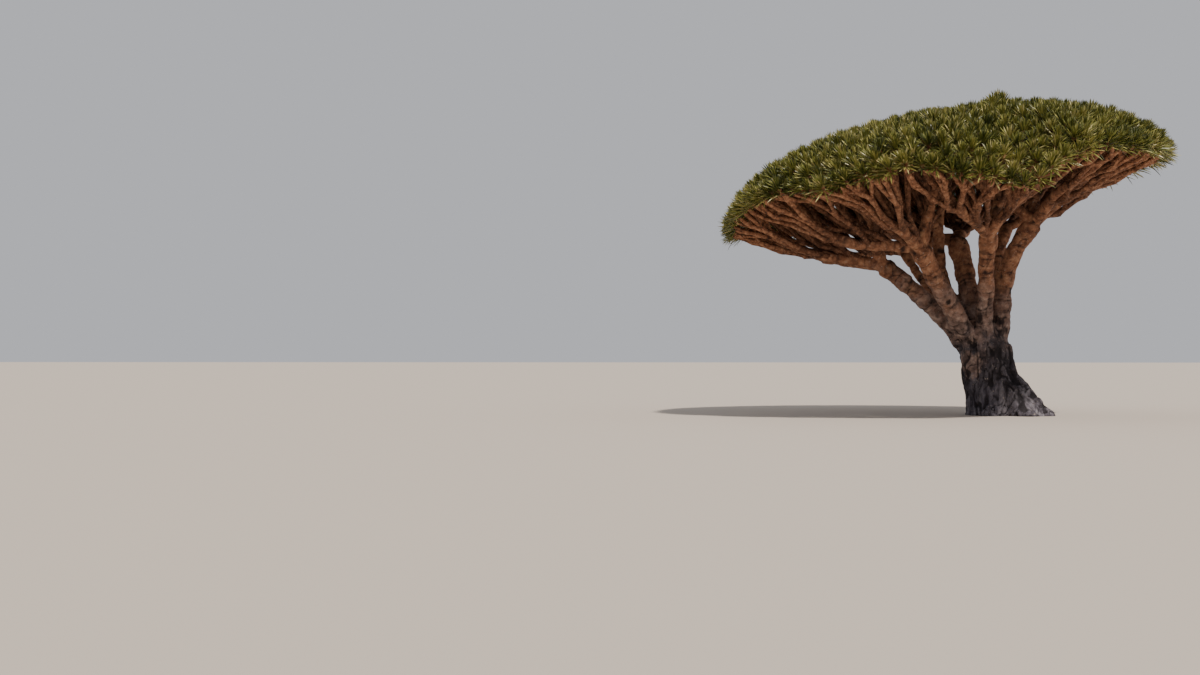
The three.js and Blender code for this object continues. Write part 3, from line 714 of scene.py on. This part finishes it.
def way_along_limbs(points, limbs):
    """How far along its nearest limb each point is, with a different start for each limb."""
    mark_spacing = 0.06
    start_apart = 7.7
    marks = []
    for i, limb in enumerate(limbs):
        count = round(limb.length / mark_spacing)
        for k in range(count + 1):
            t = k / count
            marks.append((limb.at(t), limb.heading(t), start_apart * i + t * limb.length))
    tree = KDTree(len(marks))
    for i, (place, _, _) in enumerate(marks):
        tree.insert(place, i)
    tree.balance()
    nearest = np.array([tree.find(point)[1] for point in points])
    places, headings, ways = (np.array(column) for column in zip(*marks))
    return ways[nearest] + np.sum((points - places[nearest]) * headings[nearest], 1)


def relief(points, limbs):
    """How far the bark stands proud of its smooth skin, and how deep in its cracks a point is, from 0 to 1.

    The trunk has furrows, plates and pits, and the limbs above have knobs, and creases round them. How deep
    a point lies is painted as shade: dark in cracks, pits and hollows, lighter on raised grain. The numbers
    that points are multiplied by are swells to the metre.
    """
    low = np.clip((FURROWS_TO - points[:, 2]) / FURROWS_FADE, 0, 1)
    warp = np.stack([noise(points * 2.3, 31 + i) for i in range(3)], 1)
    stretched = points * np.array([6.0, 6.0, 1.2]) + warp * 0.8
    furrow = 1 - np.abs(noise(stretched, 3)) * 2.6
    cracks = crease(noise(stretched * 1.3, 4), 0.16)
    fine = crease(noise(stretched * np.array([2.6, 2.6, 4.0]), 12), 0.2)
    pits = np.maximum(0, noise(points * 4.4, 8) - 0.40)
    lumps = noise(points * 2.6, 5)
    knobs = noise(points * 9.0, 6)
    grain = noise(points * 24.0, 7)
    way = way_along_limbs(points, limbs) + 0.03 * knobs
    along = np.stack([way * 11, np.zeros_like(way), warp[:, 0] * 0.3], 1)
    rings = crease(noise(along, 9), 0.22)
    splits = crease(noise(points * 5.0 + warp, 13), 0.09)
    trunk = FURROW * furrow - CRACK * cracks - FINE_CRACK * fine - PIT * pits
    trunk = trunk + TRUNK_LUMP * lumps + TRUNK_KNOB * knobs
    limb = LIMB_LUMP * lumps + LIMB_KNOB * knobs - RING_CREASE * rings - LIMB_SPLIT * splits
    # Painted shade: dark in cracks, pits and the hollows between knobs, lighter on raised grain.
    depth = low * (cracks + 0.7 * fine + 4 * pits) + (1 - low) * (0.5 * rings + 0.5 * splits)
    depth = depth + np.maximum(0, -0.5 * knobs) - 0.35 * np.maximum(0, grain)
    return low * trunk + (1 - low) * limb + GRAIN * grain, np.clip(depth, 0, 1)


def dress_limbs(boughs, masses):
    """One skin of bark over the trunk, boughs and branches, and how deep in its cracks each corner is."""
    shapes = [trunk_shape()]
    for i, bough in enumerate(boughs):
        shapes.append(limb_shape(bough["limb"], BOUGH_SIDES, i, BOUGH_SWELLING))
    for i, mass in enumerate(masses):
        shapes.append(limb_shape(mass["branch"], BRANCH_SIDES, 20 + i, BRANCH_SWELLING))
    skin = melted("bark", *joined(shapes), SKIN_VOXEL, SKIN_SOFTENING)
    co, push = vectors(skin, "co"), vectors(skin, "normal")
    limbs = [b["limb"] for b in boughs] + [m["branch"] for m in masses]
    raised, depth = relief(co, limbs)
    push[:, 2] *= np.clip(co[:, 2] / GROUND_FADE, 0, 1)
    moved = co + push * raised[:, None]
    for place, inward, size in KNOTS:
        off = (moved - np.array(place)) / np.array([1, 1, KNOT_TALL])
        off = np.linalg.norm(off, axis=1) / size
        hole = np.exp(-(off**2))
        hollow = KNOT_DEPTH * hole - KNOT_LIP * np.exp(-2.25 * (off - 2) ** 2)
        moved += np.outer(size * hollow, np.array(inward) / np.linalg.norm(inward))
        # Painted shade in the knot hole, and painted light on its raised lip.
        depth = np.clip(depth + KNOT_SHADE * hole - LIP_LIGHT * np.exp(-3 * (off - 2) ** 2), 0, 1)
    moved[:, 2] = np.maximum(moved[:, 2], 0)
    moved[co[:, 2] < GROUND_FLAT, 2] = 0
    set_corners(skin, moved)
    # The depth is painted on as shade.
    return skin, depth


def split_at(mesh, depth, height):
    """Parts one skin at a height into two meshes whose edges meet, each shaded as before."""
    co, no = vectors(mesh, "co"), vectors(mesh, "normal")
    tris = triangles(mesh)
    centre = co[tris].mean(1)
    border = height + 0.12 * noise(centre * 2.0, 77)
    low = centre[:, 2] < border
    parts = []
    for name, keep in (("trunk", low), ("boughs", ~low)):
        used, faces = np.unique(tris[keep], return_inverse=True)
        part = mesh_of(name, co[used], faces.reshape(-1, 3))
        part.shade_smooth()
        part.normals_split_custom_set_from_vertices(no[used].tolist())
        part.attributes.new(CRACK_SHADE_NAME, "FLOAT", "POINT").data.foreach_set("value", depth[used])
        parts.append(part)
    return parts


def triangles(mesh):
    mesh.calc_loop_triangles()
    tris = np.empty(len(mesh.loop_triangles) * 3, np.int32)
    mesh.loop_triangles.foreach_get("vertices", tris)
    return tris.reshape(-1, 3)


# Twigs and leaves.


def twig_shape(twig, sides):
    """One link of a twig, thicker at both ends, sunk a little into the link before it."""
    steps = max(4, round(twig.length / TWIG_STEP))
    ts = np.linspace(-TWIG_SUNK, 1, steps + 1)
    line = [twig.at(t) for t in ts]
    radii = []
    for t in ts:
        swelling = TWIG_WAIST + TWIG_ENDS * min(1, abs(2 * t - 1)) ** 2.5
        radii.append(twig.radius(min(1, max(0, t))) * swelling)
    return tube(line, radii, sides)


def twig_relief(verts):
    return TWIG_KNOB * noise(verts * 14.0, 15) + TWIG_LUMP * noise(verts * 6.0, 16)


def rosette_leaves(sites, seed):
    """Every leaf of all rosettes as arrays, rosette by rosette, from its lowest leaf to its middle."""
    dice = np.random.default_rng(seed)
    count = len(sites)
    shape = (count, LEAVES)
    bases = np.array([s["base"] for s in sites])
    axes = np.array([s["axis"] for s in sites])
    sizes = np.array([s["size"] for s in sites])
    tints = np.array([s["tint"] for s in sites])
    side = np.cross(axes, [0.0, 1.0, 0.0])
    side /= np.linalg.norm(side, axis=1, keepdims=True)
    other = np.cross(axes, side)
    rank = np.tile((np.arange(LEAVES) + 0.5) / LEAVES, (count, 1))
    turn = np.arange(LEAVES) * GOLDEN_TURN + dice.uniform(0, FULL_TURN, (count, 1))
    turn = turn + dice.normal(0, TURN_SPREAD, shape)
    rise = mix(LOWEST_LEAF, HIGHEST_LEAF, rank**0.85) + dice.normal(0, RISE_SPREAD, shape)
    length = LEAF_LENGTH * sizes[:, None] * (LOWEST_LENGTH - MIDDLE_SHORTER * rank)
    length = length * dice.uniform(*LEAF_LENGTHS, shape)
    bend = np.clip(dice.normal(BEND, BEND_SPREAD, shape), LEAST_BEND, MOST_BEND) * (1.1 - 0.7 * rank)
    start_up = FOOT_RISE * rank - FOOT_SUNK
    start_out = FOOT_OUT * (1 - 0.75 * rank)
    radial = side[:, None] * np.cos(turn)[..., None] + other[:, None] * np.sin(turn)[..., None]
    tangent = other[:, None] * np.cos(turn)[..., None] - side[:, None] * np.sin(turn)[..., None]
    axis = np.repeat(axes[:, None], LEAVES, 1)
    base = bases[:, None] + radial * start_out[..., None] + axis * start_up[..., None]
    twist = dice.normal(0, TWIST_SPREAD, count * LEAVES)
    tint = 0.5 + (tints[:, None] - 0.5) * ROSETTE_TINTS + dice.normal(0, TINT_SPREAD, shape)
    return {
        "base": base.reshape(-1, 3),
        "radial": radial.reshape(-1, 3),
        "tangent": tangent.reshape(-1, 3),
        "axis": axis.reshape(-1, 3),
        "rise": rise.ravel(),
        "bend": bend.ravel(),
        "length": length.ravel(),
        "twist": twist,
        "tint": tint.ravel(),
    }


def leaf_mesh(name, leaves):
    """Sword leaves: a blade of two links that arches outwards, and a point."""
    count = len(leaves["rise"])
    out = np.zeros(count)
    up = np.zeros(count)
    corners_of = []
    previous = 0.0
    for i, station in enumerate(LEAF_STATIONS):
        step = station - previous
        angle = leaves["rise"] - leaves["bend"] * (station + previous) / 2
        out = out + np.cos(angle) * step * leaves["length"]
        up = up + np.sin(angle) * step * leaves["length"]
        previous = station
        spine = leaves["base"] + leaves["radial"] * out[:, None] + leaves["axis"] * up[:, None]
        if i == len(LEAF_WIDTHS):
            corners_of.append(spine)
            break
        here = leaves["rise"] - leaves["bend"] * station
        face = leaves["axis"] * np.cos(here)[:, None] - leaves["radial"] * np.sin(here)[:, None]
        flat = leaves["tangent"] * np.cos(leaves["twist"])[:, None]
        turned = flat + face * np.sin(leaves["twist"])[:, None]
        half = turned * (LEAF_WIDTH * LEAF_WIDTHS[i] / 2)
        corners_of += [spine - half, spine + half]
    verts = np.stack(corners_of, 1).reshape(-1, 3)
    pattern = np.array([(0, 1, 3), (0, 3, 2), (2, 3, 5), (2, 5, 4), (4, 5, 6)])
    per_leaf = 2 * len(LEAF_WIDTHS) + 1
    faces = (pattern[None] + (np.arange(count) * per_leaf)[:, None, None]).reshape(-1, 3)
    return mesh_of(name, verts, faces)


# Materials.


def material(name):
    made = bpy.data.materials.new(name)
    made.use_nodes = True
    tree = made.node_tree
    shader = tree.nodes["Principled BSDF"]
    return made, tree, shader


def node(tree, kind, **settings):
    """A node whose settings are its inputs by name, or else its own."""
    made = tree.nodes.new(kind)
    for key, value in settings.items():
        if key in made.inputs.keys():
            made.inputs[key].default_value = value
        else:
            setattr(made, key, value)
    return made


def ramp(tree, source, stops):
    made = tree.nodes.new("ShaderNodeValToRGB")
    elements = made.color_ramp.elements
    for i, (at, colour) in enumerate(stops):
        element = elements[i] if i < 2 else elements.new(at)
        element.position = at
        element.color = (*colour, 1)
    tree.links.new(source, made.inputs["Fac"])
    return made.outputs["Color"]


def mask(tree, source, *stops):
    """A share from 0 to 1, given at some values of the source."""
    return ramp(tree, source, [(at, (share, share, share)) for at, share in stops])


def place_of(tree, scale):
    coords = node(tree, "ShaderNodeTexCoord")
    mapping = node(tree, "ShaderNodeMapping", Scale=scale)
    tree.links.new(coords.outputs["Object"], mapping.inputs["Vector"])
    return mapping.outputs["Vector"]


def speckle(tree, scale, detail, roughness, stretch=(1, 1, 1)):
    """Noise of so many swells to the metre."""
    made = node(tree, "ShaderNodeTexNoise", Scale=scale, Detail=detail, Roughness=roughness)
    tree.links.new(place_of(tree, stretch), made.inputs["Vector"])
    return made.outputs["Fac"]


def share_of(tree, source, low, high):
    """Where a value lies from low to high, from 0 to 1."""
    made = node(tree, "ShaderNodeMapRange")
    made.inputs["From Min"].default_value = low
    made.inputs["From Max"].default_value = high
    tree.links.new(source, made.inputs["Value"])
    return made.outputs[0]


def stirred(tree, source, noise_at, strength):
    """A value with noise added, so that what follows it has a ragged edge."""
    made = node(tree, "ShaderNodeMath", operation="MULTIPLY_ADD")
    tree.links.new(noise_at, made.inputs[0])
    made.inputs[1].default_value = strength
    tree.links.new(source, made.inputs[2])
    return made.outputs[0]


def blend(tree, share, low, high):
    """From one colour to another, each a plain colour or a node's."""
    made = node(tree, "ShaderNodeMix", data_type="RGBA")
    tree.links.new(share, made.inputs["Factor"])
    for index, value in ((6, low), (7, high)):
        if isinstance(value, tuple):
            made.inputs[index].default_value = (*value, 1)
        else:
            tree.links.new(value, made.inputs[index])
    return made.outputs[2]


def bump(tree, shader, heights, strength, distance):
    made = node(tree, "ShaderNodeBump", Strength=strength, Distance=distance)
    tree.links.new(heights, made.inputs["Height"])
    tree.links.new(made.outputs["Normal"], shader.inputs["Normal"])


def surface(shader, roughness, specular):
    shader.inputs["Roughness"].default_value = roughness
    shader.inputs["Specular IOR Level"].default_value = specular


def bark(name):
    """Bark that turns from dark grey at the foot to brown, and to rust where the boughs fork.

    A band of the upper trunk is painted nearly black as shade under the crown, with a brown patch beside it,
    and pale specks as painted highlights and cracks darkened as painted shade lie over all.
    """
    made, tree, shader = material(name)
    coords = node(tree, "ShaderNodeTexCoord")
    split = node(tree, "ShaderNodeSeparateXYZ")
    tree.links.new(coords.outputs["Object"], split.inputs[0])
    drift = stirred(tree, split.outputs["Z"], speckle(tree, 1.7, 5, 0.65), 2.6)
    height = share_of(tree, drift, 2.2, 5.6)
    to_brown = mask(tree, height, (0.10, 0), (0.26, 1))
    to_rust = mask(tree, height, (0.34, 0), (0.62, 1))
    # Painted shade: a nearly black band on the trunk under the crown.
    trunk_shade = mask(tree, share_of(tree, drift, 0, 3), (0.56, 0), (0.72, 0.6), (0.90, 0.6), (1.00, 0))
    from_patch = node(tree, "ShaderNodeVectorMath", operation="DISTANCE")
    tree.links.new(coords.outputs["Object"], from_patch.inputs[0])
    from_patch.inputs[1].default_value = BROWN_PATCH_PLACE
    ragged = stirred(tree, from_patch.outputs["Value"], speckle(tree, 7, 4, 0.6), 0.5)
    brown_patch = mask(tree, ragged, (0.50, 1), (0.62, 0))

    grey = ramp(tree, speckle(tree, 5.0, 8, 0.7, (1, 1, 0.3)), GREY)
    brown = ramp(tree, speckle(tree, 6.0, 7, 0.65), BROWN)
    rust = ramp(tree, speckle(tree, 6.5, 7, 0.65), RUST)
    bark_with_shade = blend(tree, trunk_shade, blend(tree, to_brown, grey, brown), TRUNK_SHADE_COLOUR)
    ground = blend(tree, to_rust, blend(tree, brown_patch, bark_with_shade, brown), rust)
    # Pale specks over the bark are painted highlights.
    highlight_flecks = mask(tree, speckle(tree, 17, 6, 0.7), (0.60, 0), (0.68, 0.85))
    highlighted = blend(tree, highlight_flecks, ground, BARK_HIGHLIGHT)
    # Painted shade: cracks, pits and knot holes darken with how deep they lie.
    crack = node(tree, "ShaderNodeAttribute", attribute_name=CRACK_SHADE_NAME)
    shade_in_cracks = mask(tree, crack.outputs["Fac"], (0.1, 0), (0.8, 0.9))
    tree.links.new(blend(tree, shade_in_cracks, highlighted, CRACK_SHADE_COLOUR), shader.inputs["Base Color"])
    surface(shader, 0.9, 0.25)
    bump(tree, shader, speckle(tree, 24, 8, 0.65, (1, 1, 0.5)), 0.9, 0.025)
    return made


def twig_bark():
    """Rust brown bark with pale painted highlights, dimmer towards the crown's middle as painted shade."""
    made, tree, shader = material("twig_bark")
    across = node(tree, "ShaderNodeVectorMath", operation="SUBTRACT")
    tree.links.new(place_of(tree, (1, 1, 0)), across.inputs[0])
    across.inputs[1].default_value = (CROWN_MIDDLE.x, CROWN_MIDDLE.y, 0)
    reach = node(tree, "ShaderNodeVectorMath", operation="LENGTH")
    tree.links.new(across.outputs["Vector"], reach.inputs[0])
    # Painted shade: towards the crown's middle the bark turns to its dimmer copy.
    sunlit = share_of(tree, reach.outputs["Value"], SHADED * CROWN_REACH, SUNLIT * CROWN_REACH)
    # Pale specks over the twigs are painted highlights, dimmer in the crown's middle.
    highlight_flecks = mask(tree, speckle(tree, 26, 4, 0.7), (0.60, 0), (0.68, 0.8))
    barks = []
    for shades, highlight_colour in ((SHADED_TWIG_BARK, SHADED_TWIG_HIGHLIGHT), (OUTER_BARK, TWIG_HIGHLIGHT)):
        ground = ramp(tree, speckle(tree, 9, 7, 0.75), shades)
        barks.append(blend(tree, highlight_flecks, ground, highlight_colour))
    tree.links.new(blend(tree, sunlit, *barks), shader.inputs["Base Color"])
    surface(shader, 0.8, 0.3)
    bump(tree, shader, speckle(tree, 30, 6, 0.7), 0.9, 0.02)
    return made


def leaf_green(name, dark, light):
    made, tree, shader = material(name)
    colour = ramp(tree, speckle(tree, 9, 3, 0.6), [(0.35, dark), (0.65, light)])
    tree.links.new(colour, shader.inputs["Base Color"])
    surface(shader, 0.38, 0.45)
    bump(tree, shader, speckle(tree, 90, 2, 0.6), 0.2, 0.002)
    return made


# The whole tree, its floor and its light.


def dress_twigs(masses, nodes):
    """The twigs in two pieces, those near the rim rounder, as they show best."""
    twigs = []
    for i, mass in enumerate(masses):
        twigs += feed_mass(mass, Dice(101 + 37 * i))
    outer = [t for t in twigs if in_crown(t.at(0.5))[0] > OUTER_TWIGS * CROWN_REACH]
    inner = [t for t in twigs if t not in outer]
    look = twig_bark()
    for name, group, sides in (("twigs_outer", outer, OUTER_SIDES), ("twigs_inner", inner, INNER_SIDES)):
        skin = mesh_of(name, *joined([twig_shape(t, sides) for t in group]))
        skin.shade_smooth()
        co, no = vectors(skin, "co"), vectors(skin, "normal")
        set_corners(skin, co + no * twig_relief(co)[:, None])
        piece(name, skin, look, nodes)


def dress_leaves(masses, nodes):
    """The rosettes' leaves in a piece for each green, dealt leaf by leaf round their rosette's own tint."""
    sites = [s for m in masses for s in m["sites"]]
    for proud in sorted(sites, key=lambda s: (s["base"].xy - TUFT_PLACE).length)[:TUFT_ROSETTES]:
        proud["base"] = proud["base"] + proud["axis"] * TUFT_RAISED
    leaves = rosette_leaves(sites, 900)
    edges = np.cumsum([0] + [g[3] for g in GREENS])
    tint = np.clip(leaves["tint"], 0, 0.999)
    for i, (name, dark, light, _) in enumerate(GREENS):
        dealt = (edges[i] <= tint) & (tint < edges[i + 1])
        mesh = leaf_mesh(f"leaves_{name}", {key: values[dealt] for key, values in leaves.items()})
        piece(f"leaves_{name}", mesh, leaf_green(f"leaf_{name}", dark, light), nodes)


def build_tree():
    boughs = grow_boughs()
    masses = place_masses(boughs)
    for mass in masses:
        mass["branch"] = grow_branch(mass)
    share_sites(masses)
    skin, depth = dress_limbs(boughs, masses)
    low, high = split_at(skin, depth, BARK_SPLIT)
    piece("trunk_bark", low, bark("trunk_bark"), ["trunk"], smooth=False)
    limb_nodes = [f"bough_{b['name']}" for b in boughs] + [f"branch_{m['name']}" for m in masses]
    piece("bough_bark", high, bark("bough_bark"), limb_nodes, smooth=False)
    foliage_nodes = [f"foliage_{m['name']}" for m in masses]
    dress_twigs(masses, foliage_nodes)
    dress_leaves(masses, foliage_nodes)


def build_studio():
    mesh = bpy.data.meshes.new("floor")
    spots = [(x * FLOOR_HALF, y * FLOOR_HALF, 0) for x, y in ((-1, -1), (1, -1), (1, 1), (-1, 1))]
    mesh.from_pydata(spots, [], [(0, 1, 2, 3)])
    floor = bpy.data.objects.new("floor", mesh)
    bpy.context.scene.collection.objects.link(floor)
    made, _, shader = material("floor")
    shader.inputs["Base Color"].default_value = FLOOR_COLOUR
    shader.inputs["Roughness"].default_value = 0.95
    mesh.materials.append(made)

    world = bpy.data.worlds.new("studio")
    bpy.context.scene.world = world
    world.use_nodes = True
    sky = world.node_tree.nodes["Background"]
    sky.inputs["Color"].default_value = SKY_COLOUR
    sky.inputs["Strength"].default_value = SKY_STRENGTH

    key = bpy.data.lights.new("key", "SUN")
    key.energy = SUN_STRENGTH
    key.angle = SUN_WIDTH
    key.color = SUN_COLOUR
    lamp = bpy.data.objects.new("key", key)
    lamp.rotation_euler = SUN_TURN
    bpy.context.scene.collection.objects.link(lamp)


def place_camera():
    camera = bpy.data.cameras.new("camera")
    camera.lens = LENS
    camera.sensor_width = SENSOR
    camera.clip_end = VIEW_LENGTH
    holder = bpy.data.objects.new("camera", camera)
    holder.location = CAMERA_PLACE
    holder.rotation_euler = (math.pi / 2 + CAMERA_PITCH, 0, CAMERA_TURN)
    bpy.context.scene.collection.objects.link(holder)
    bpy.context.scene.camera = holder


build_tree()
build_studio()
place_camera()
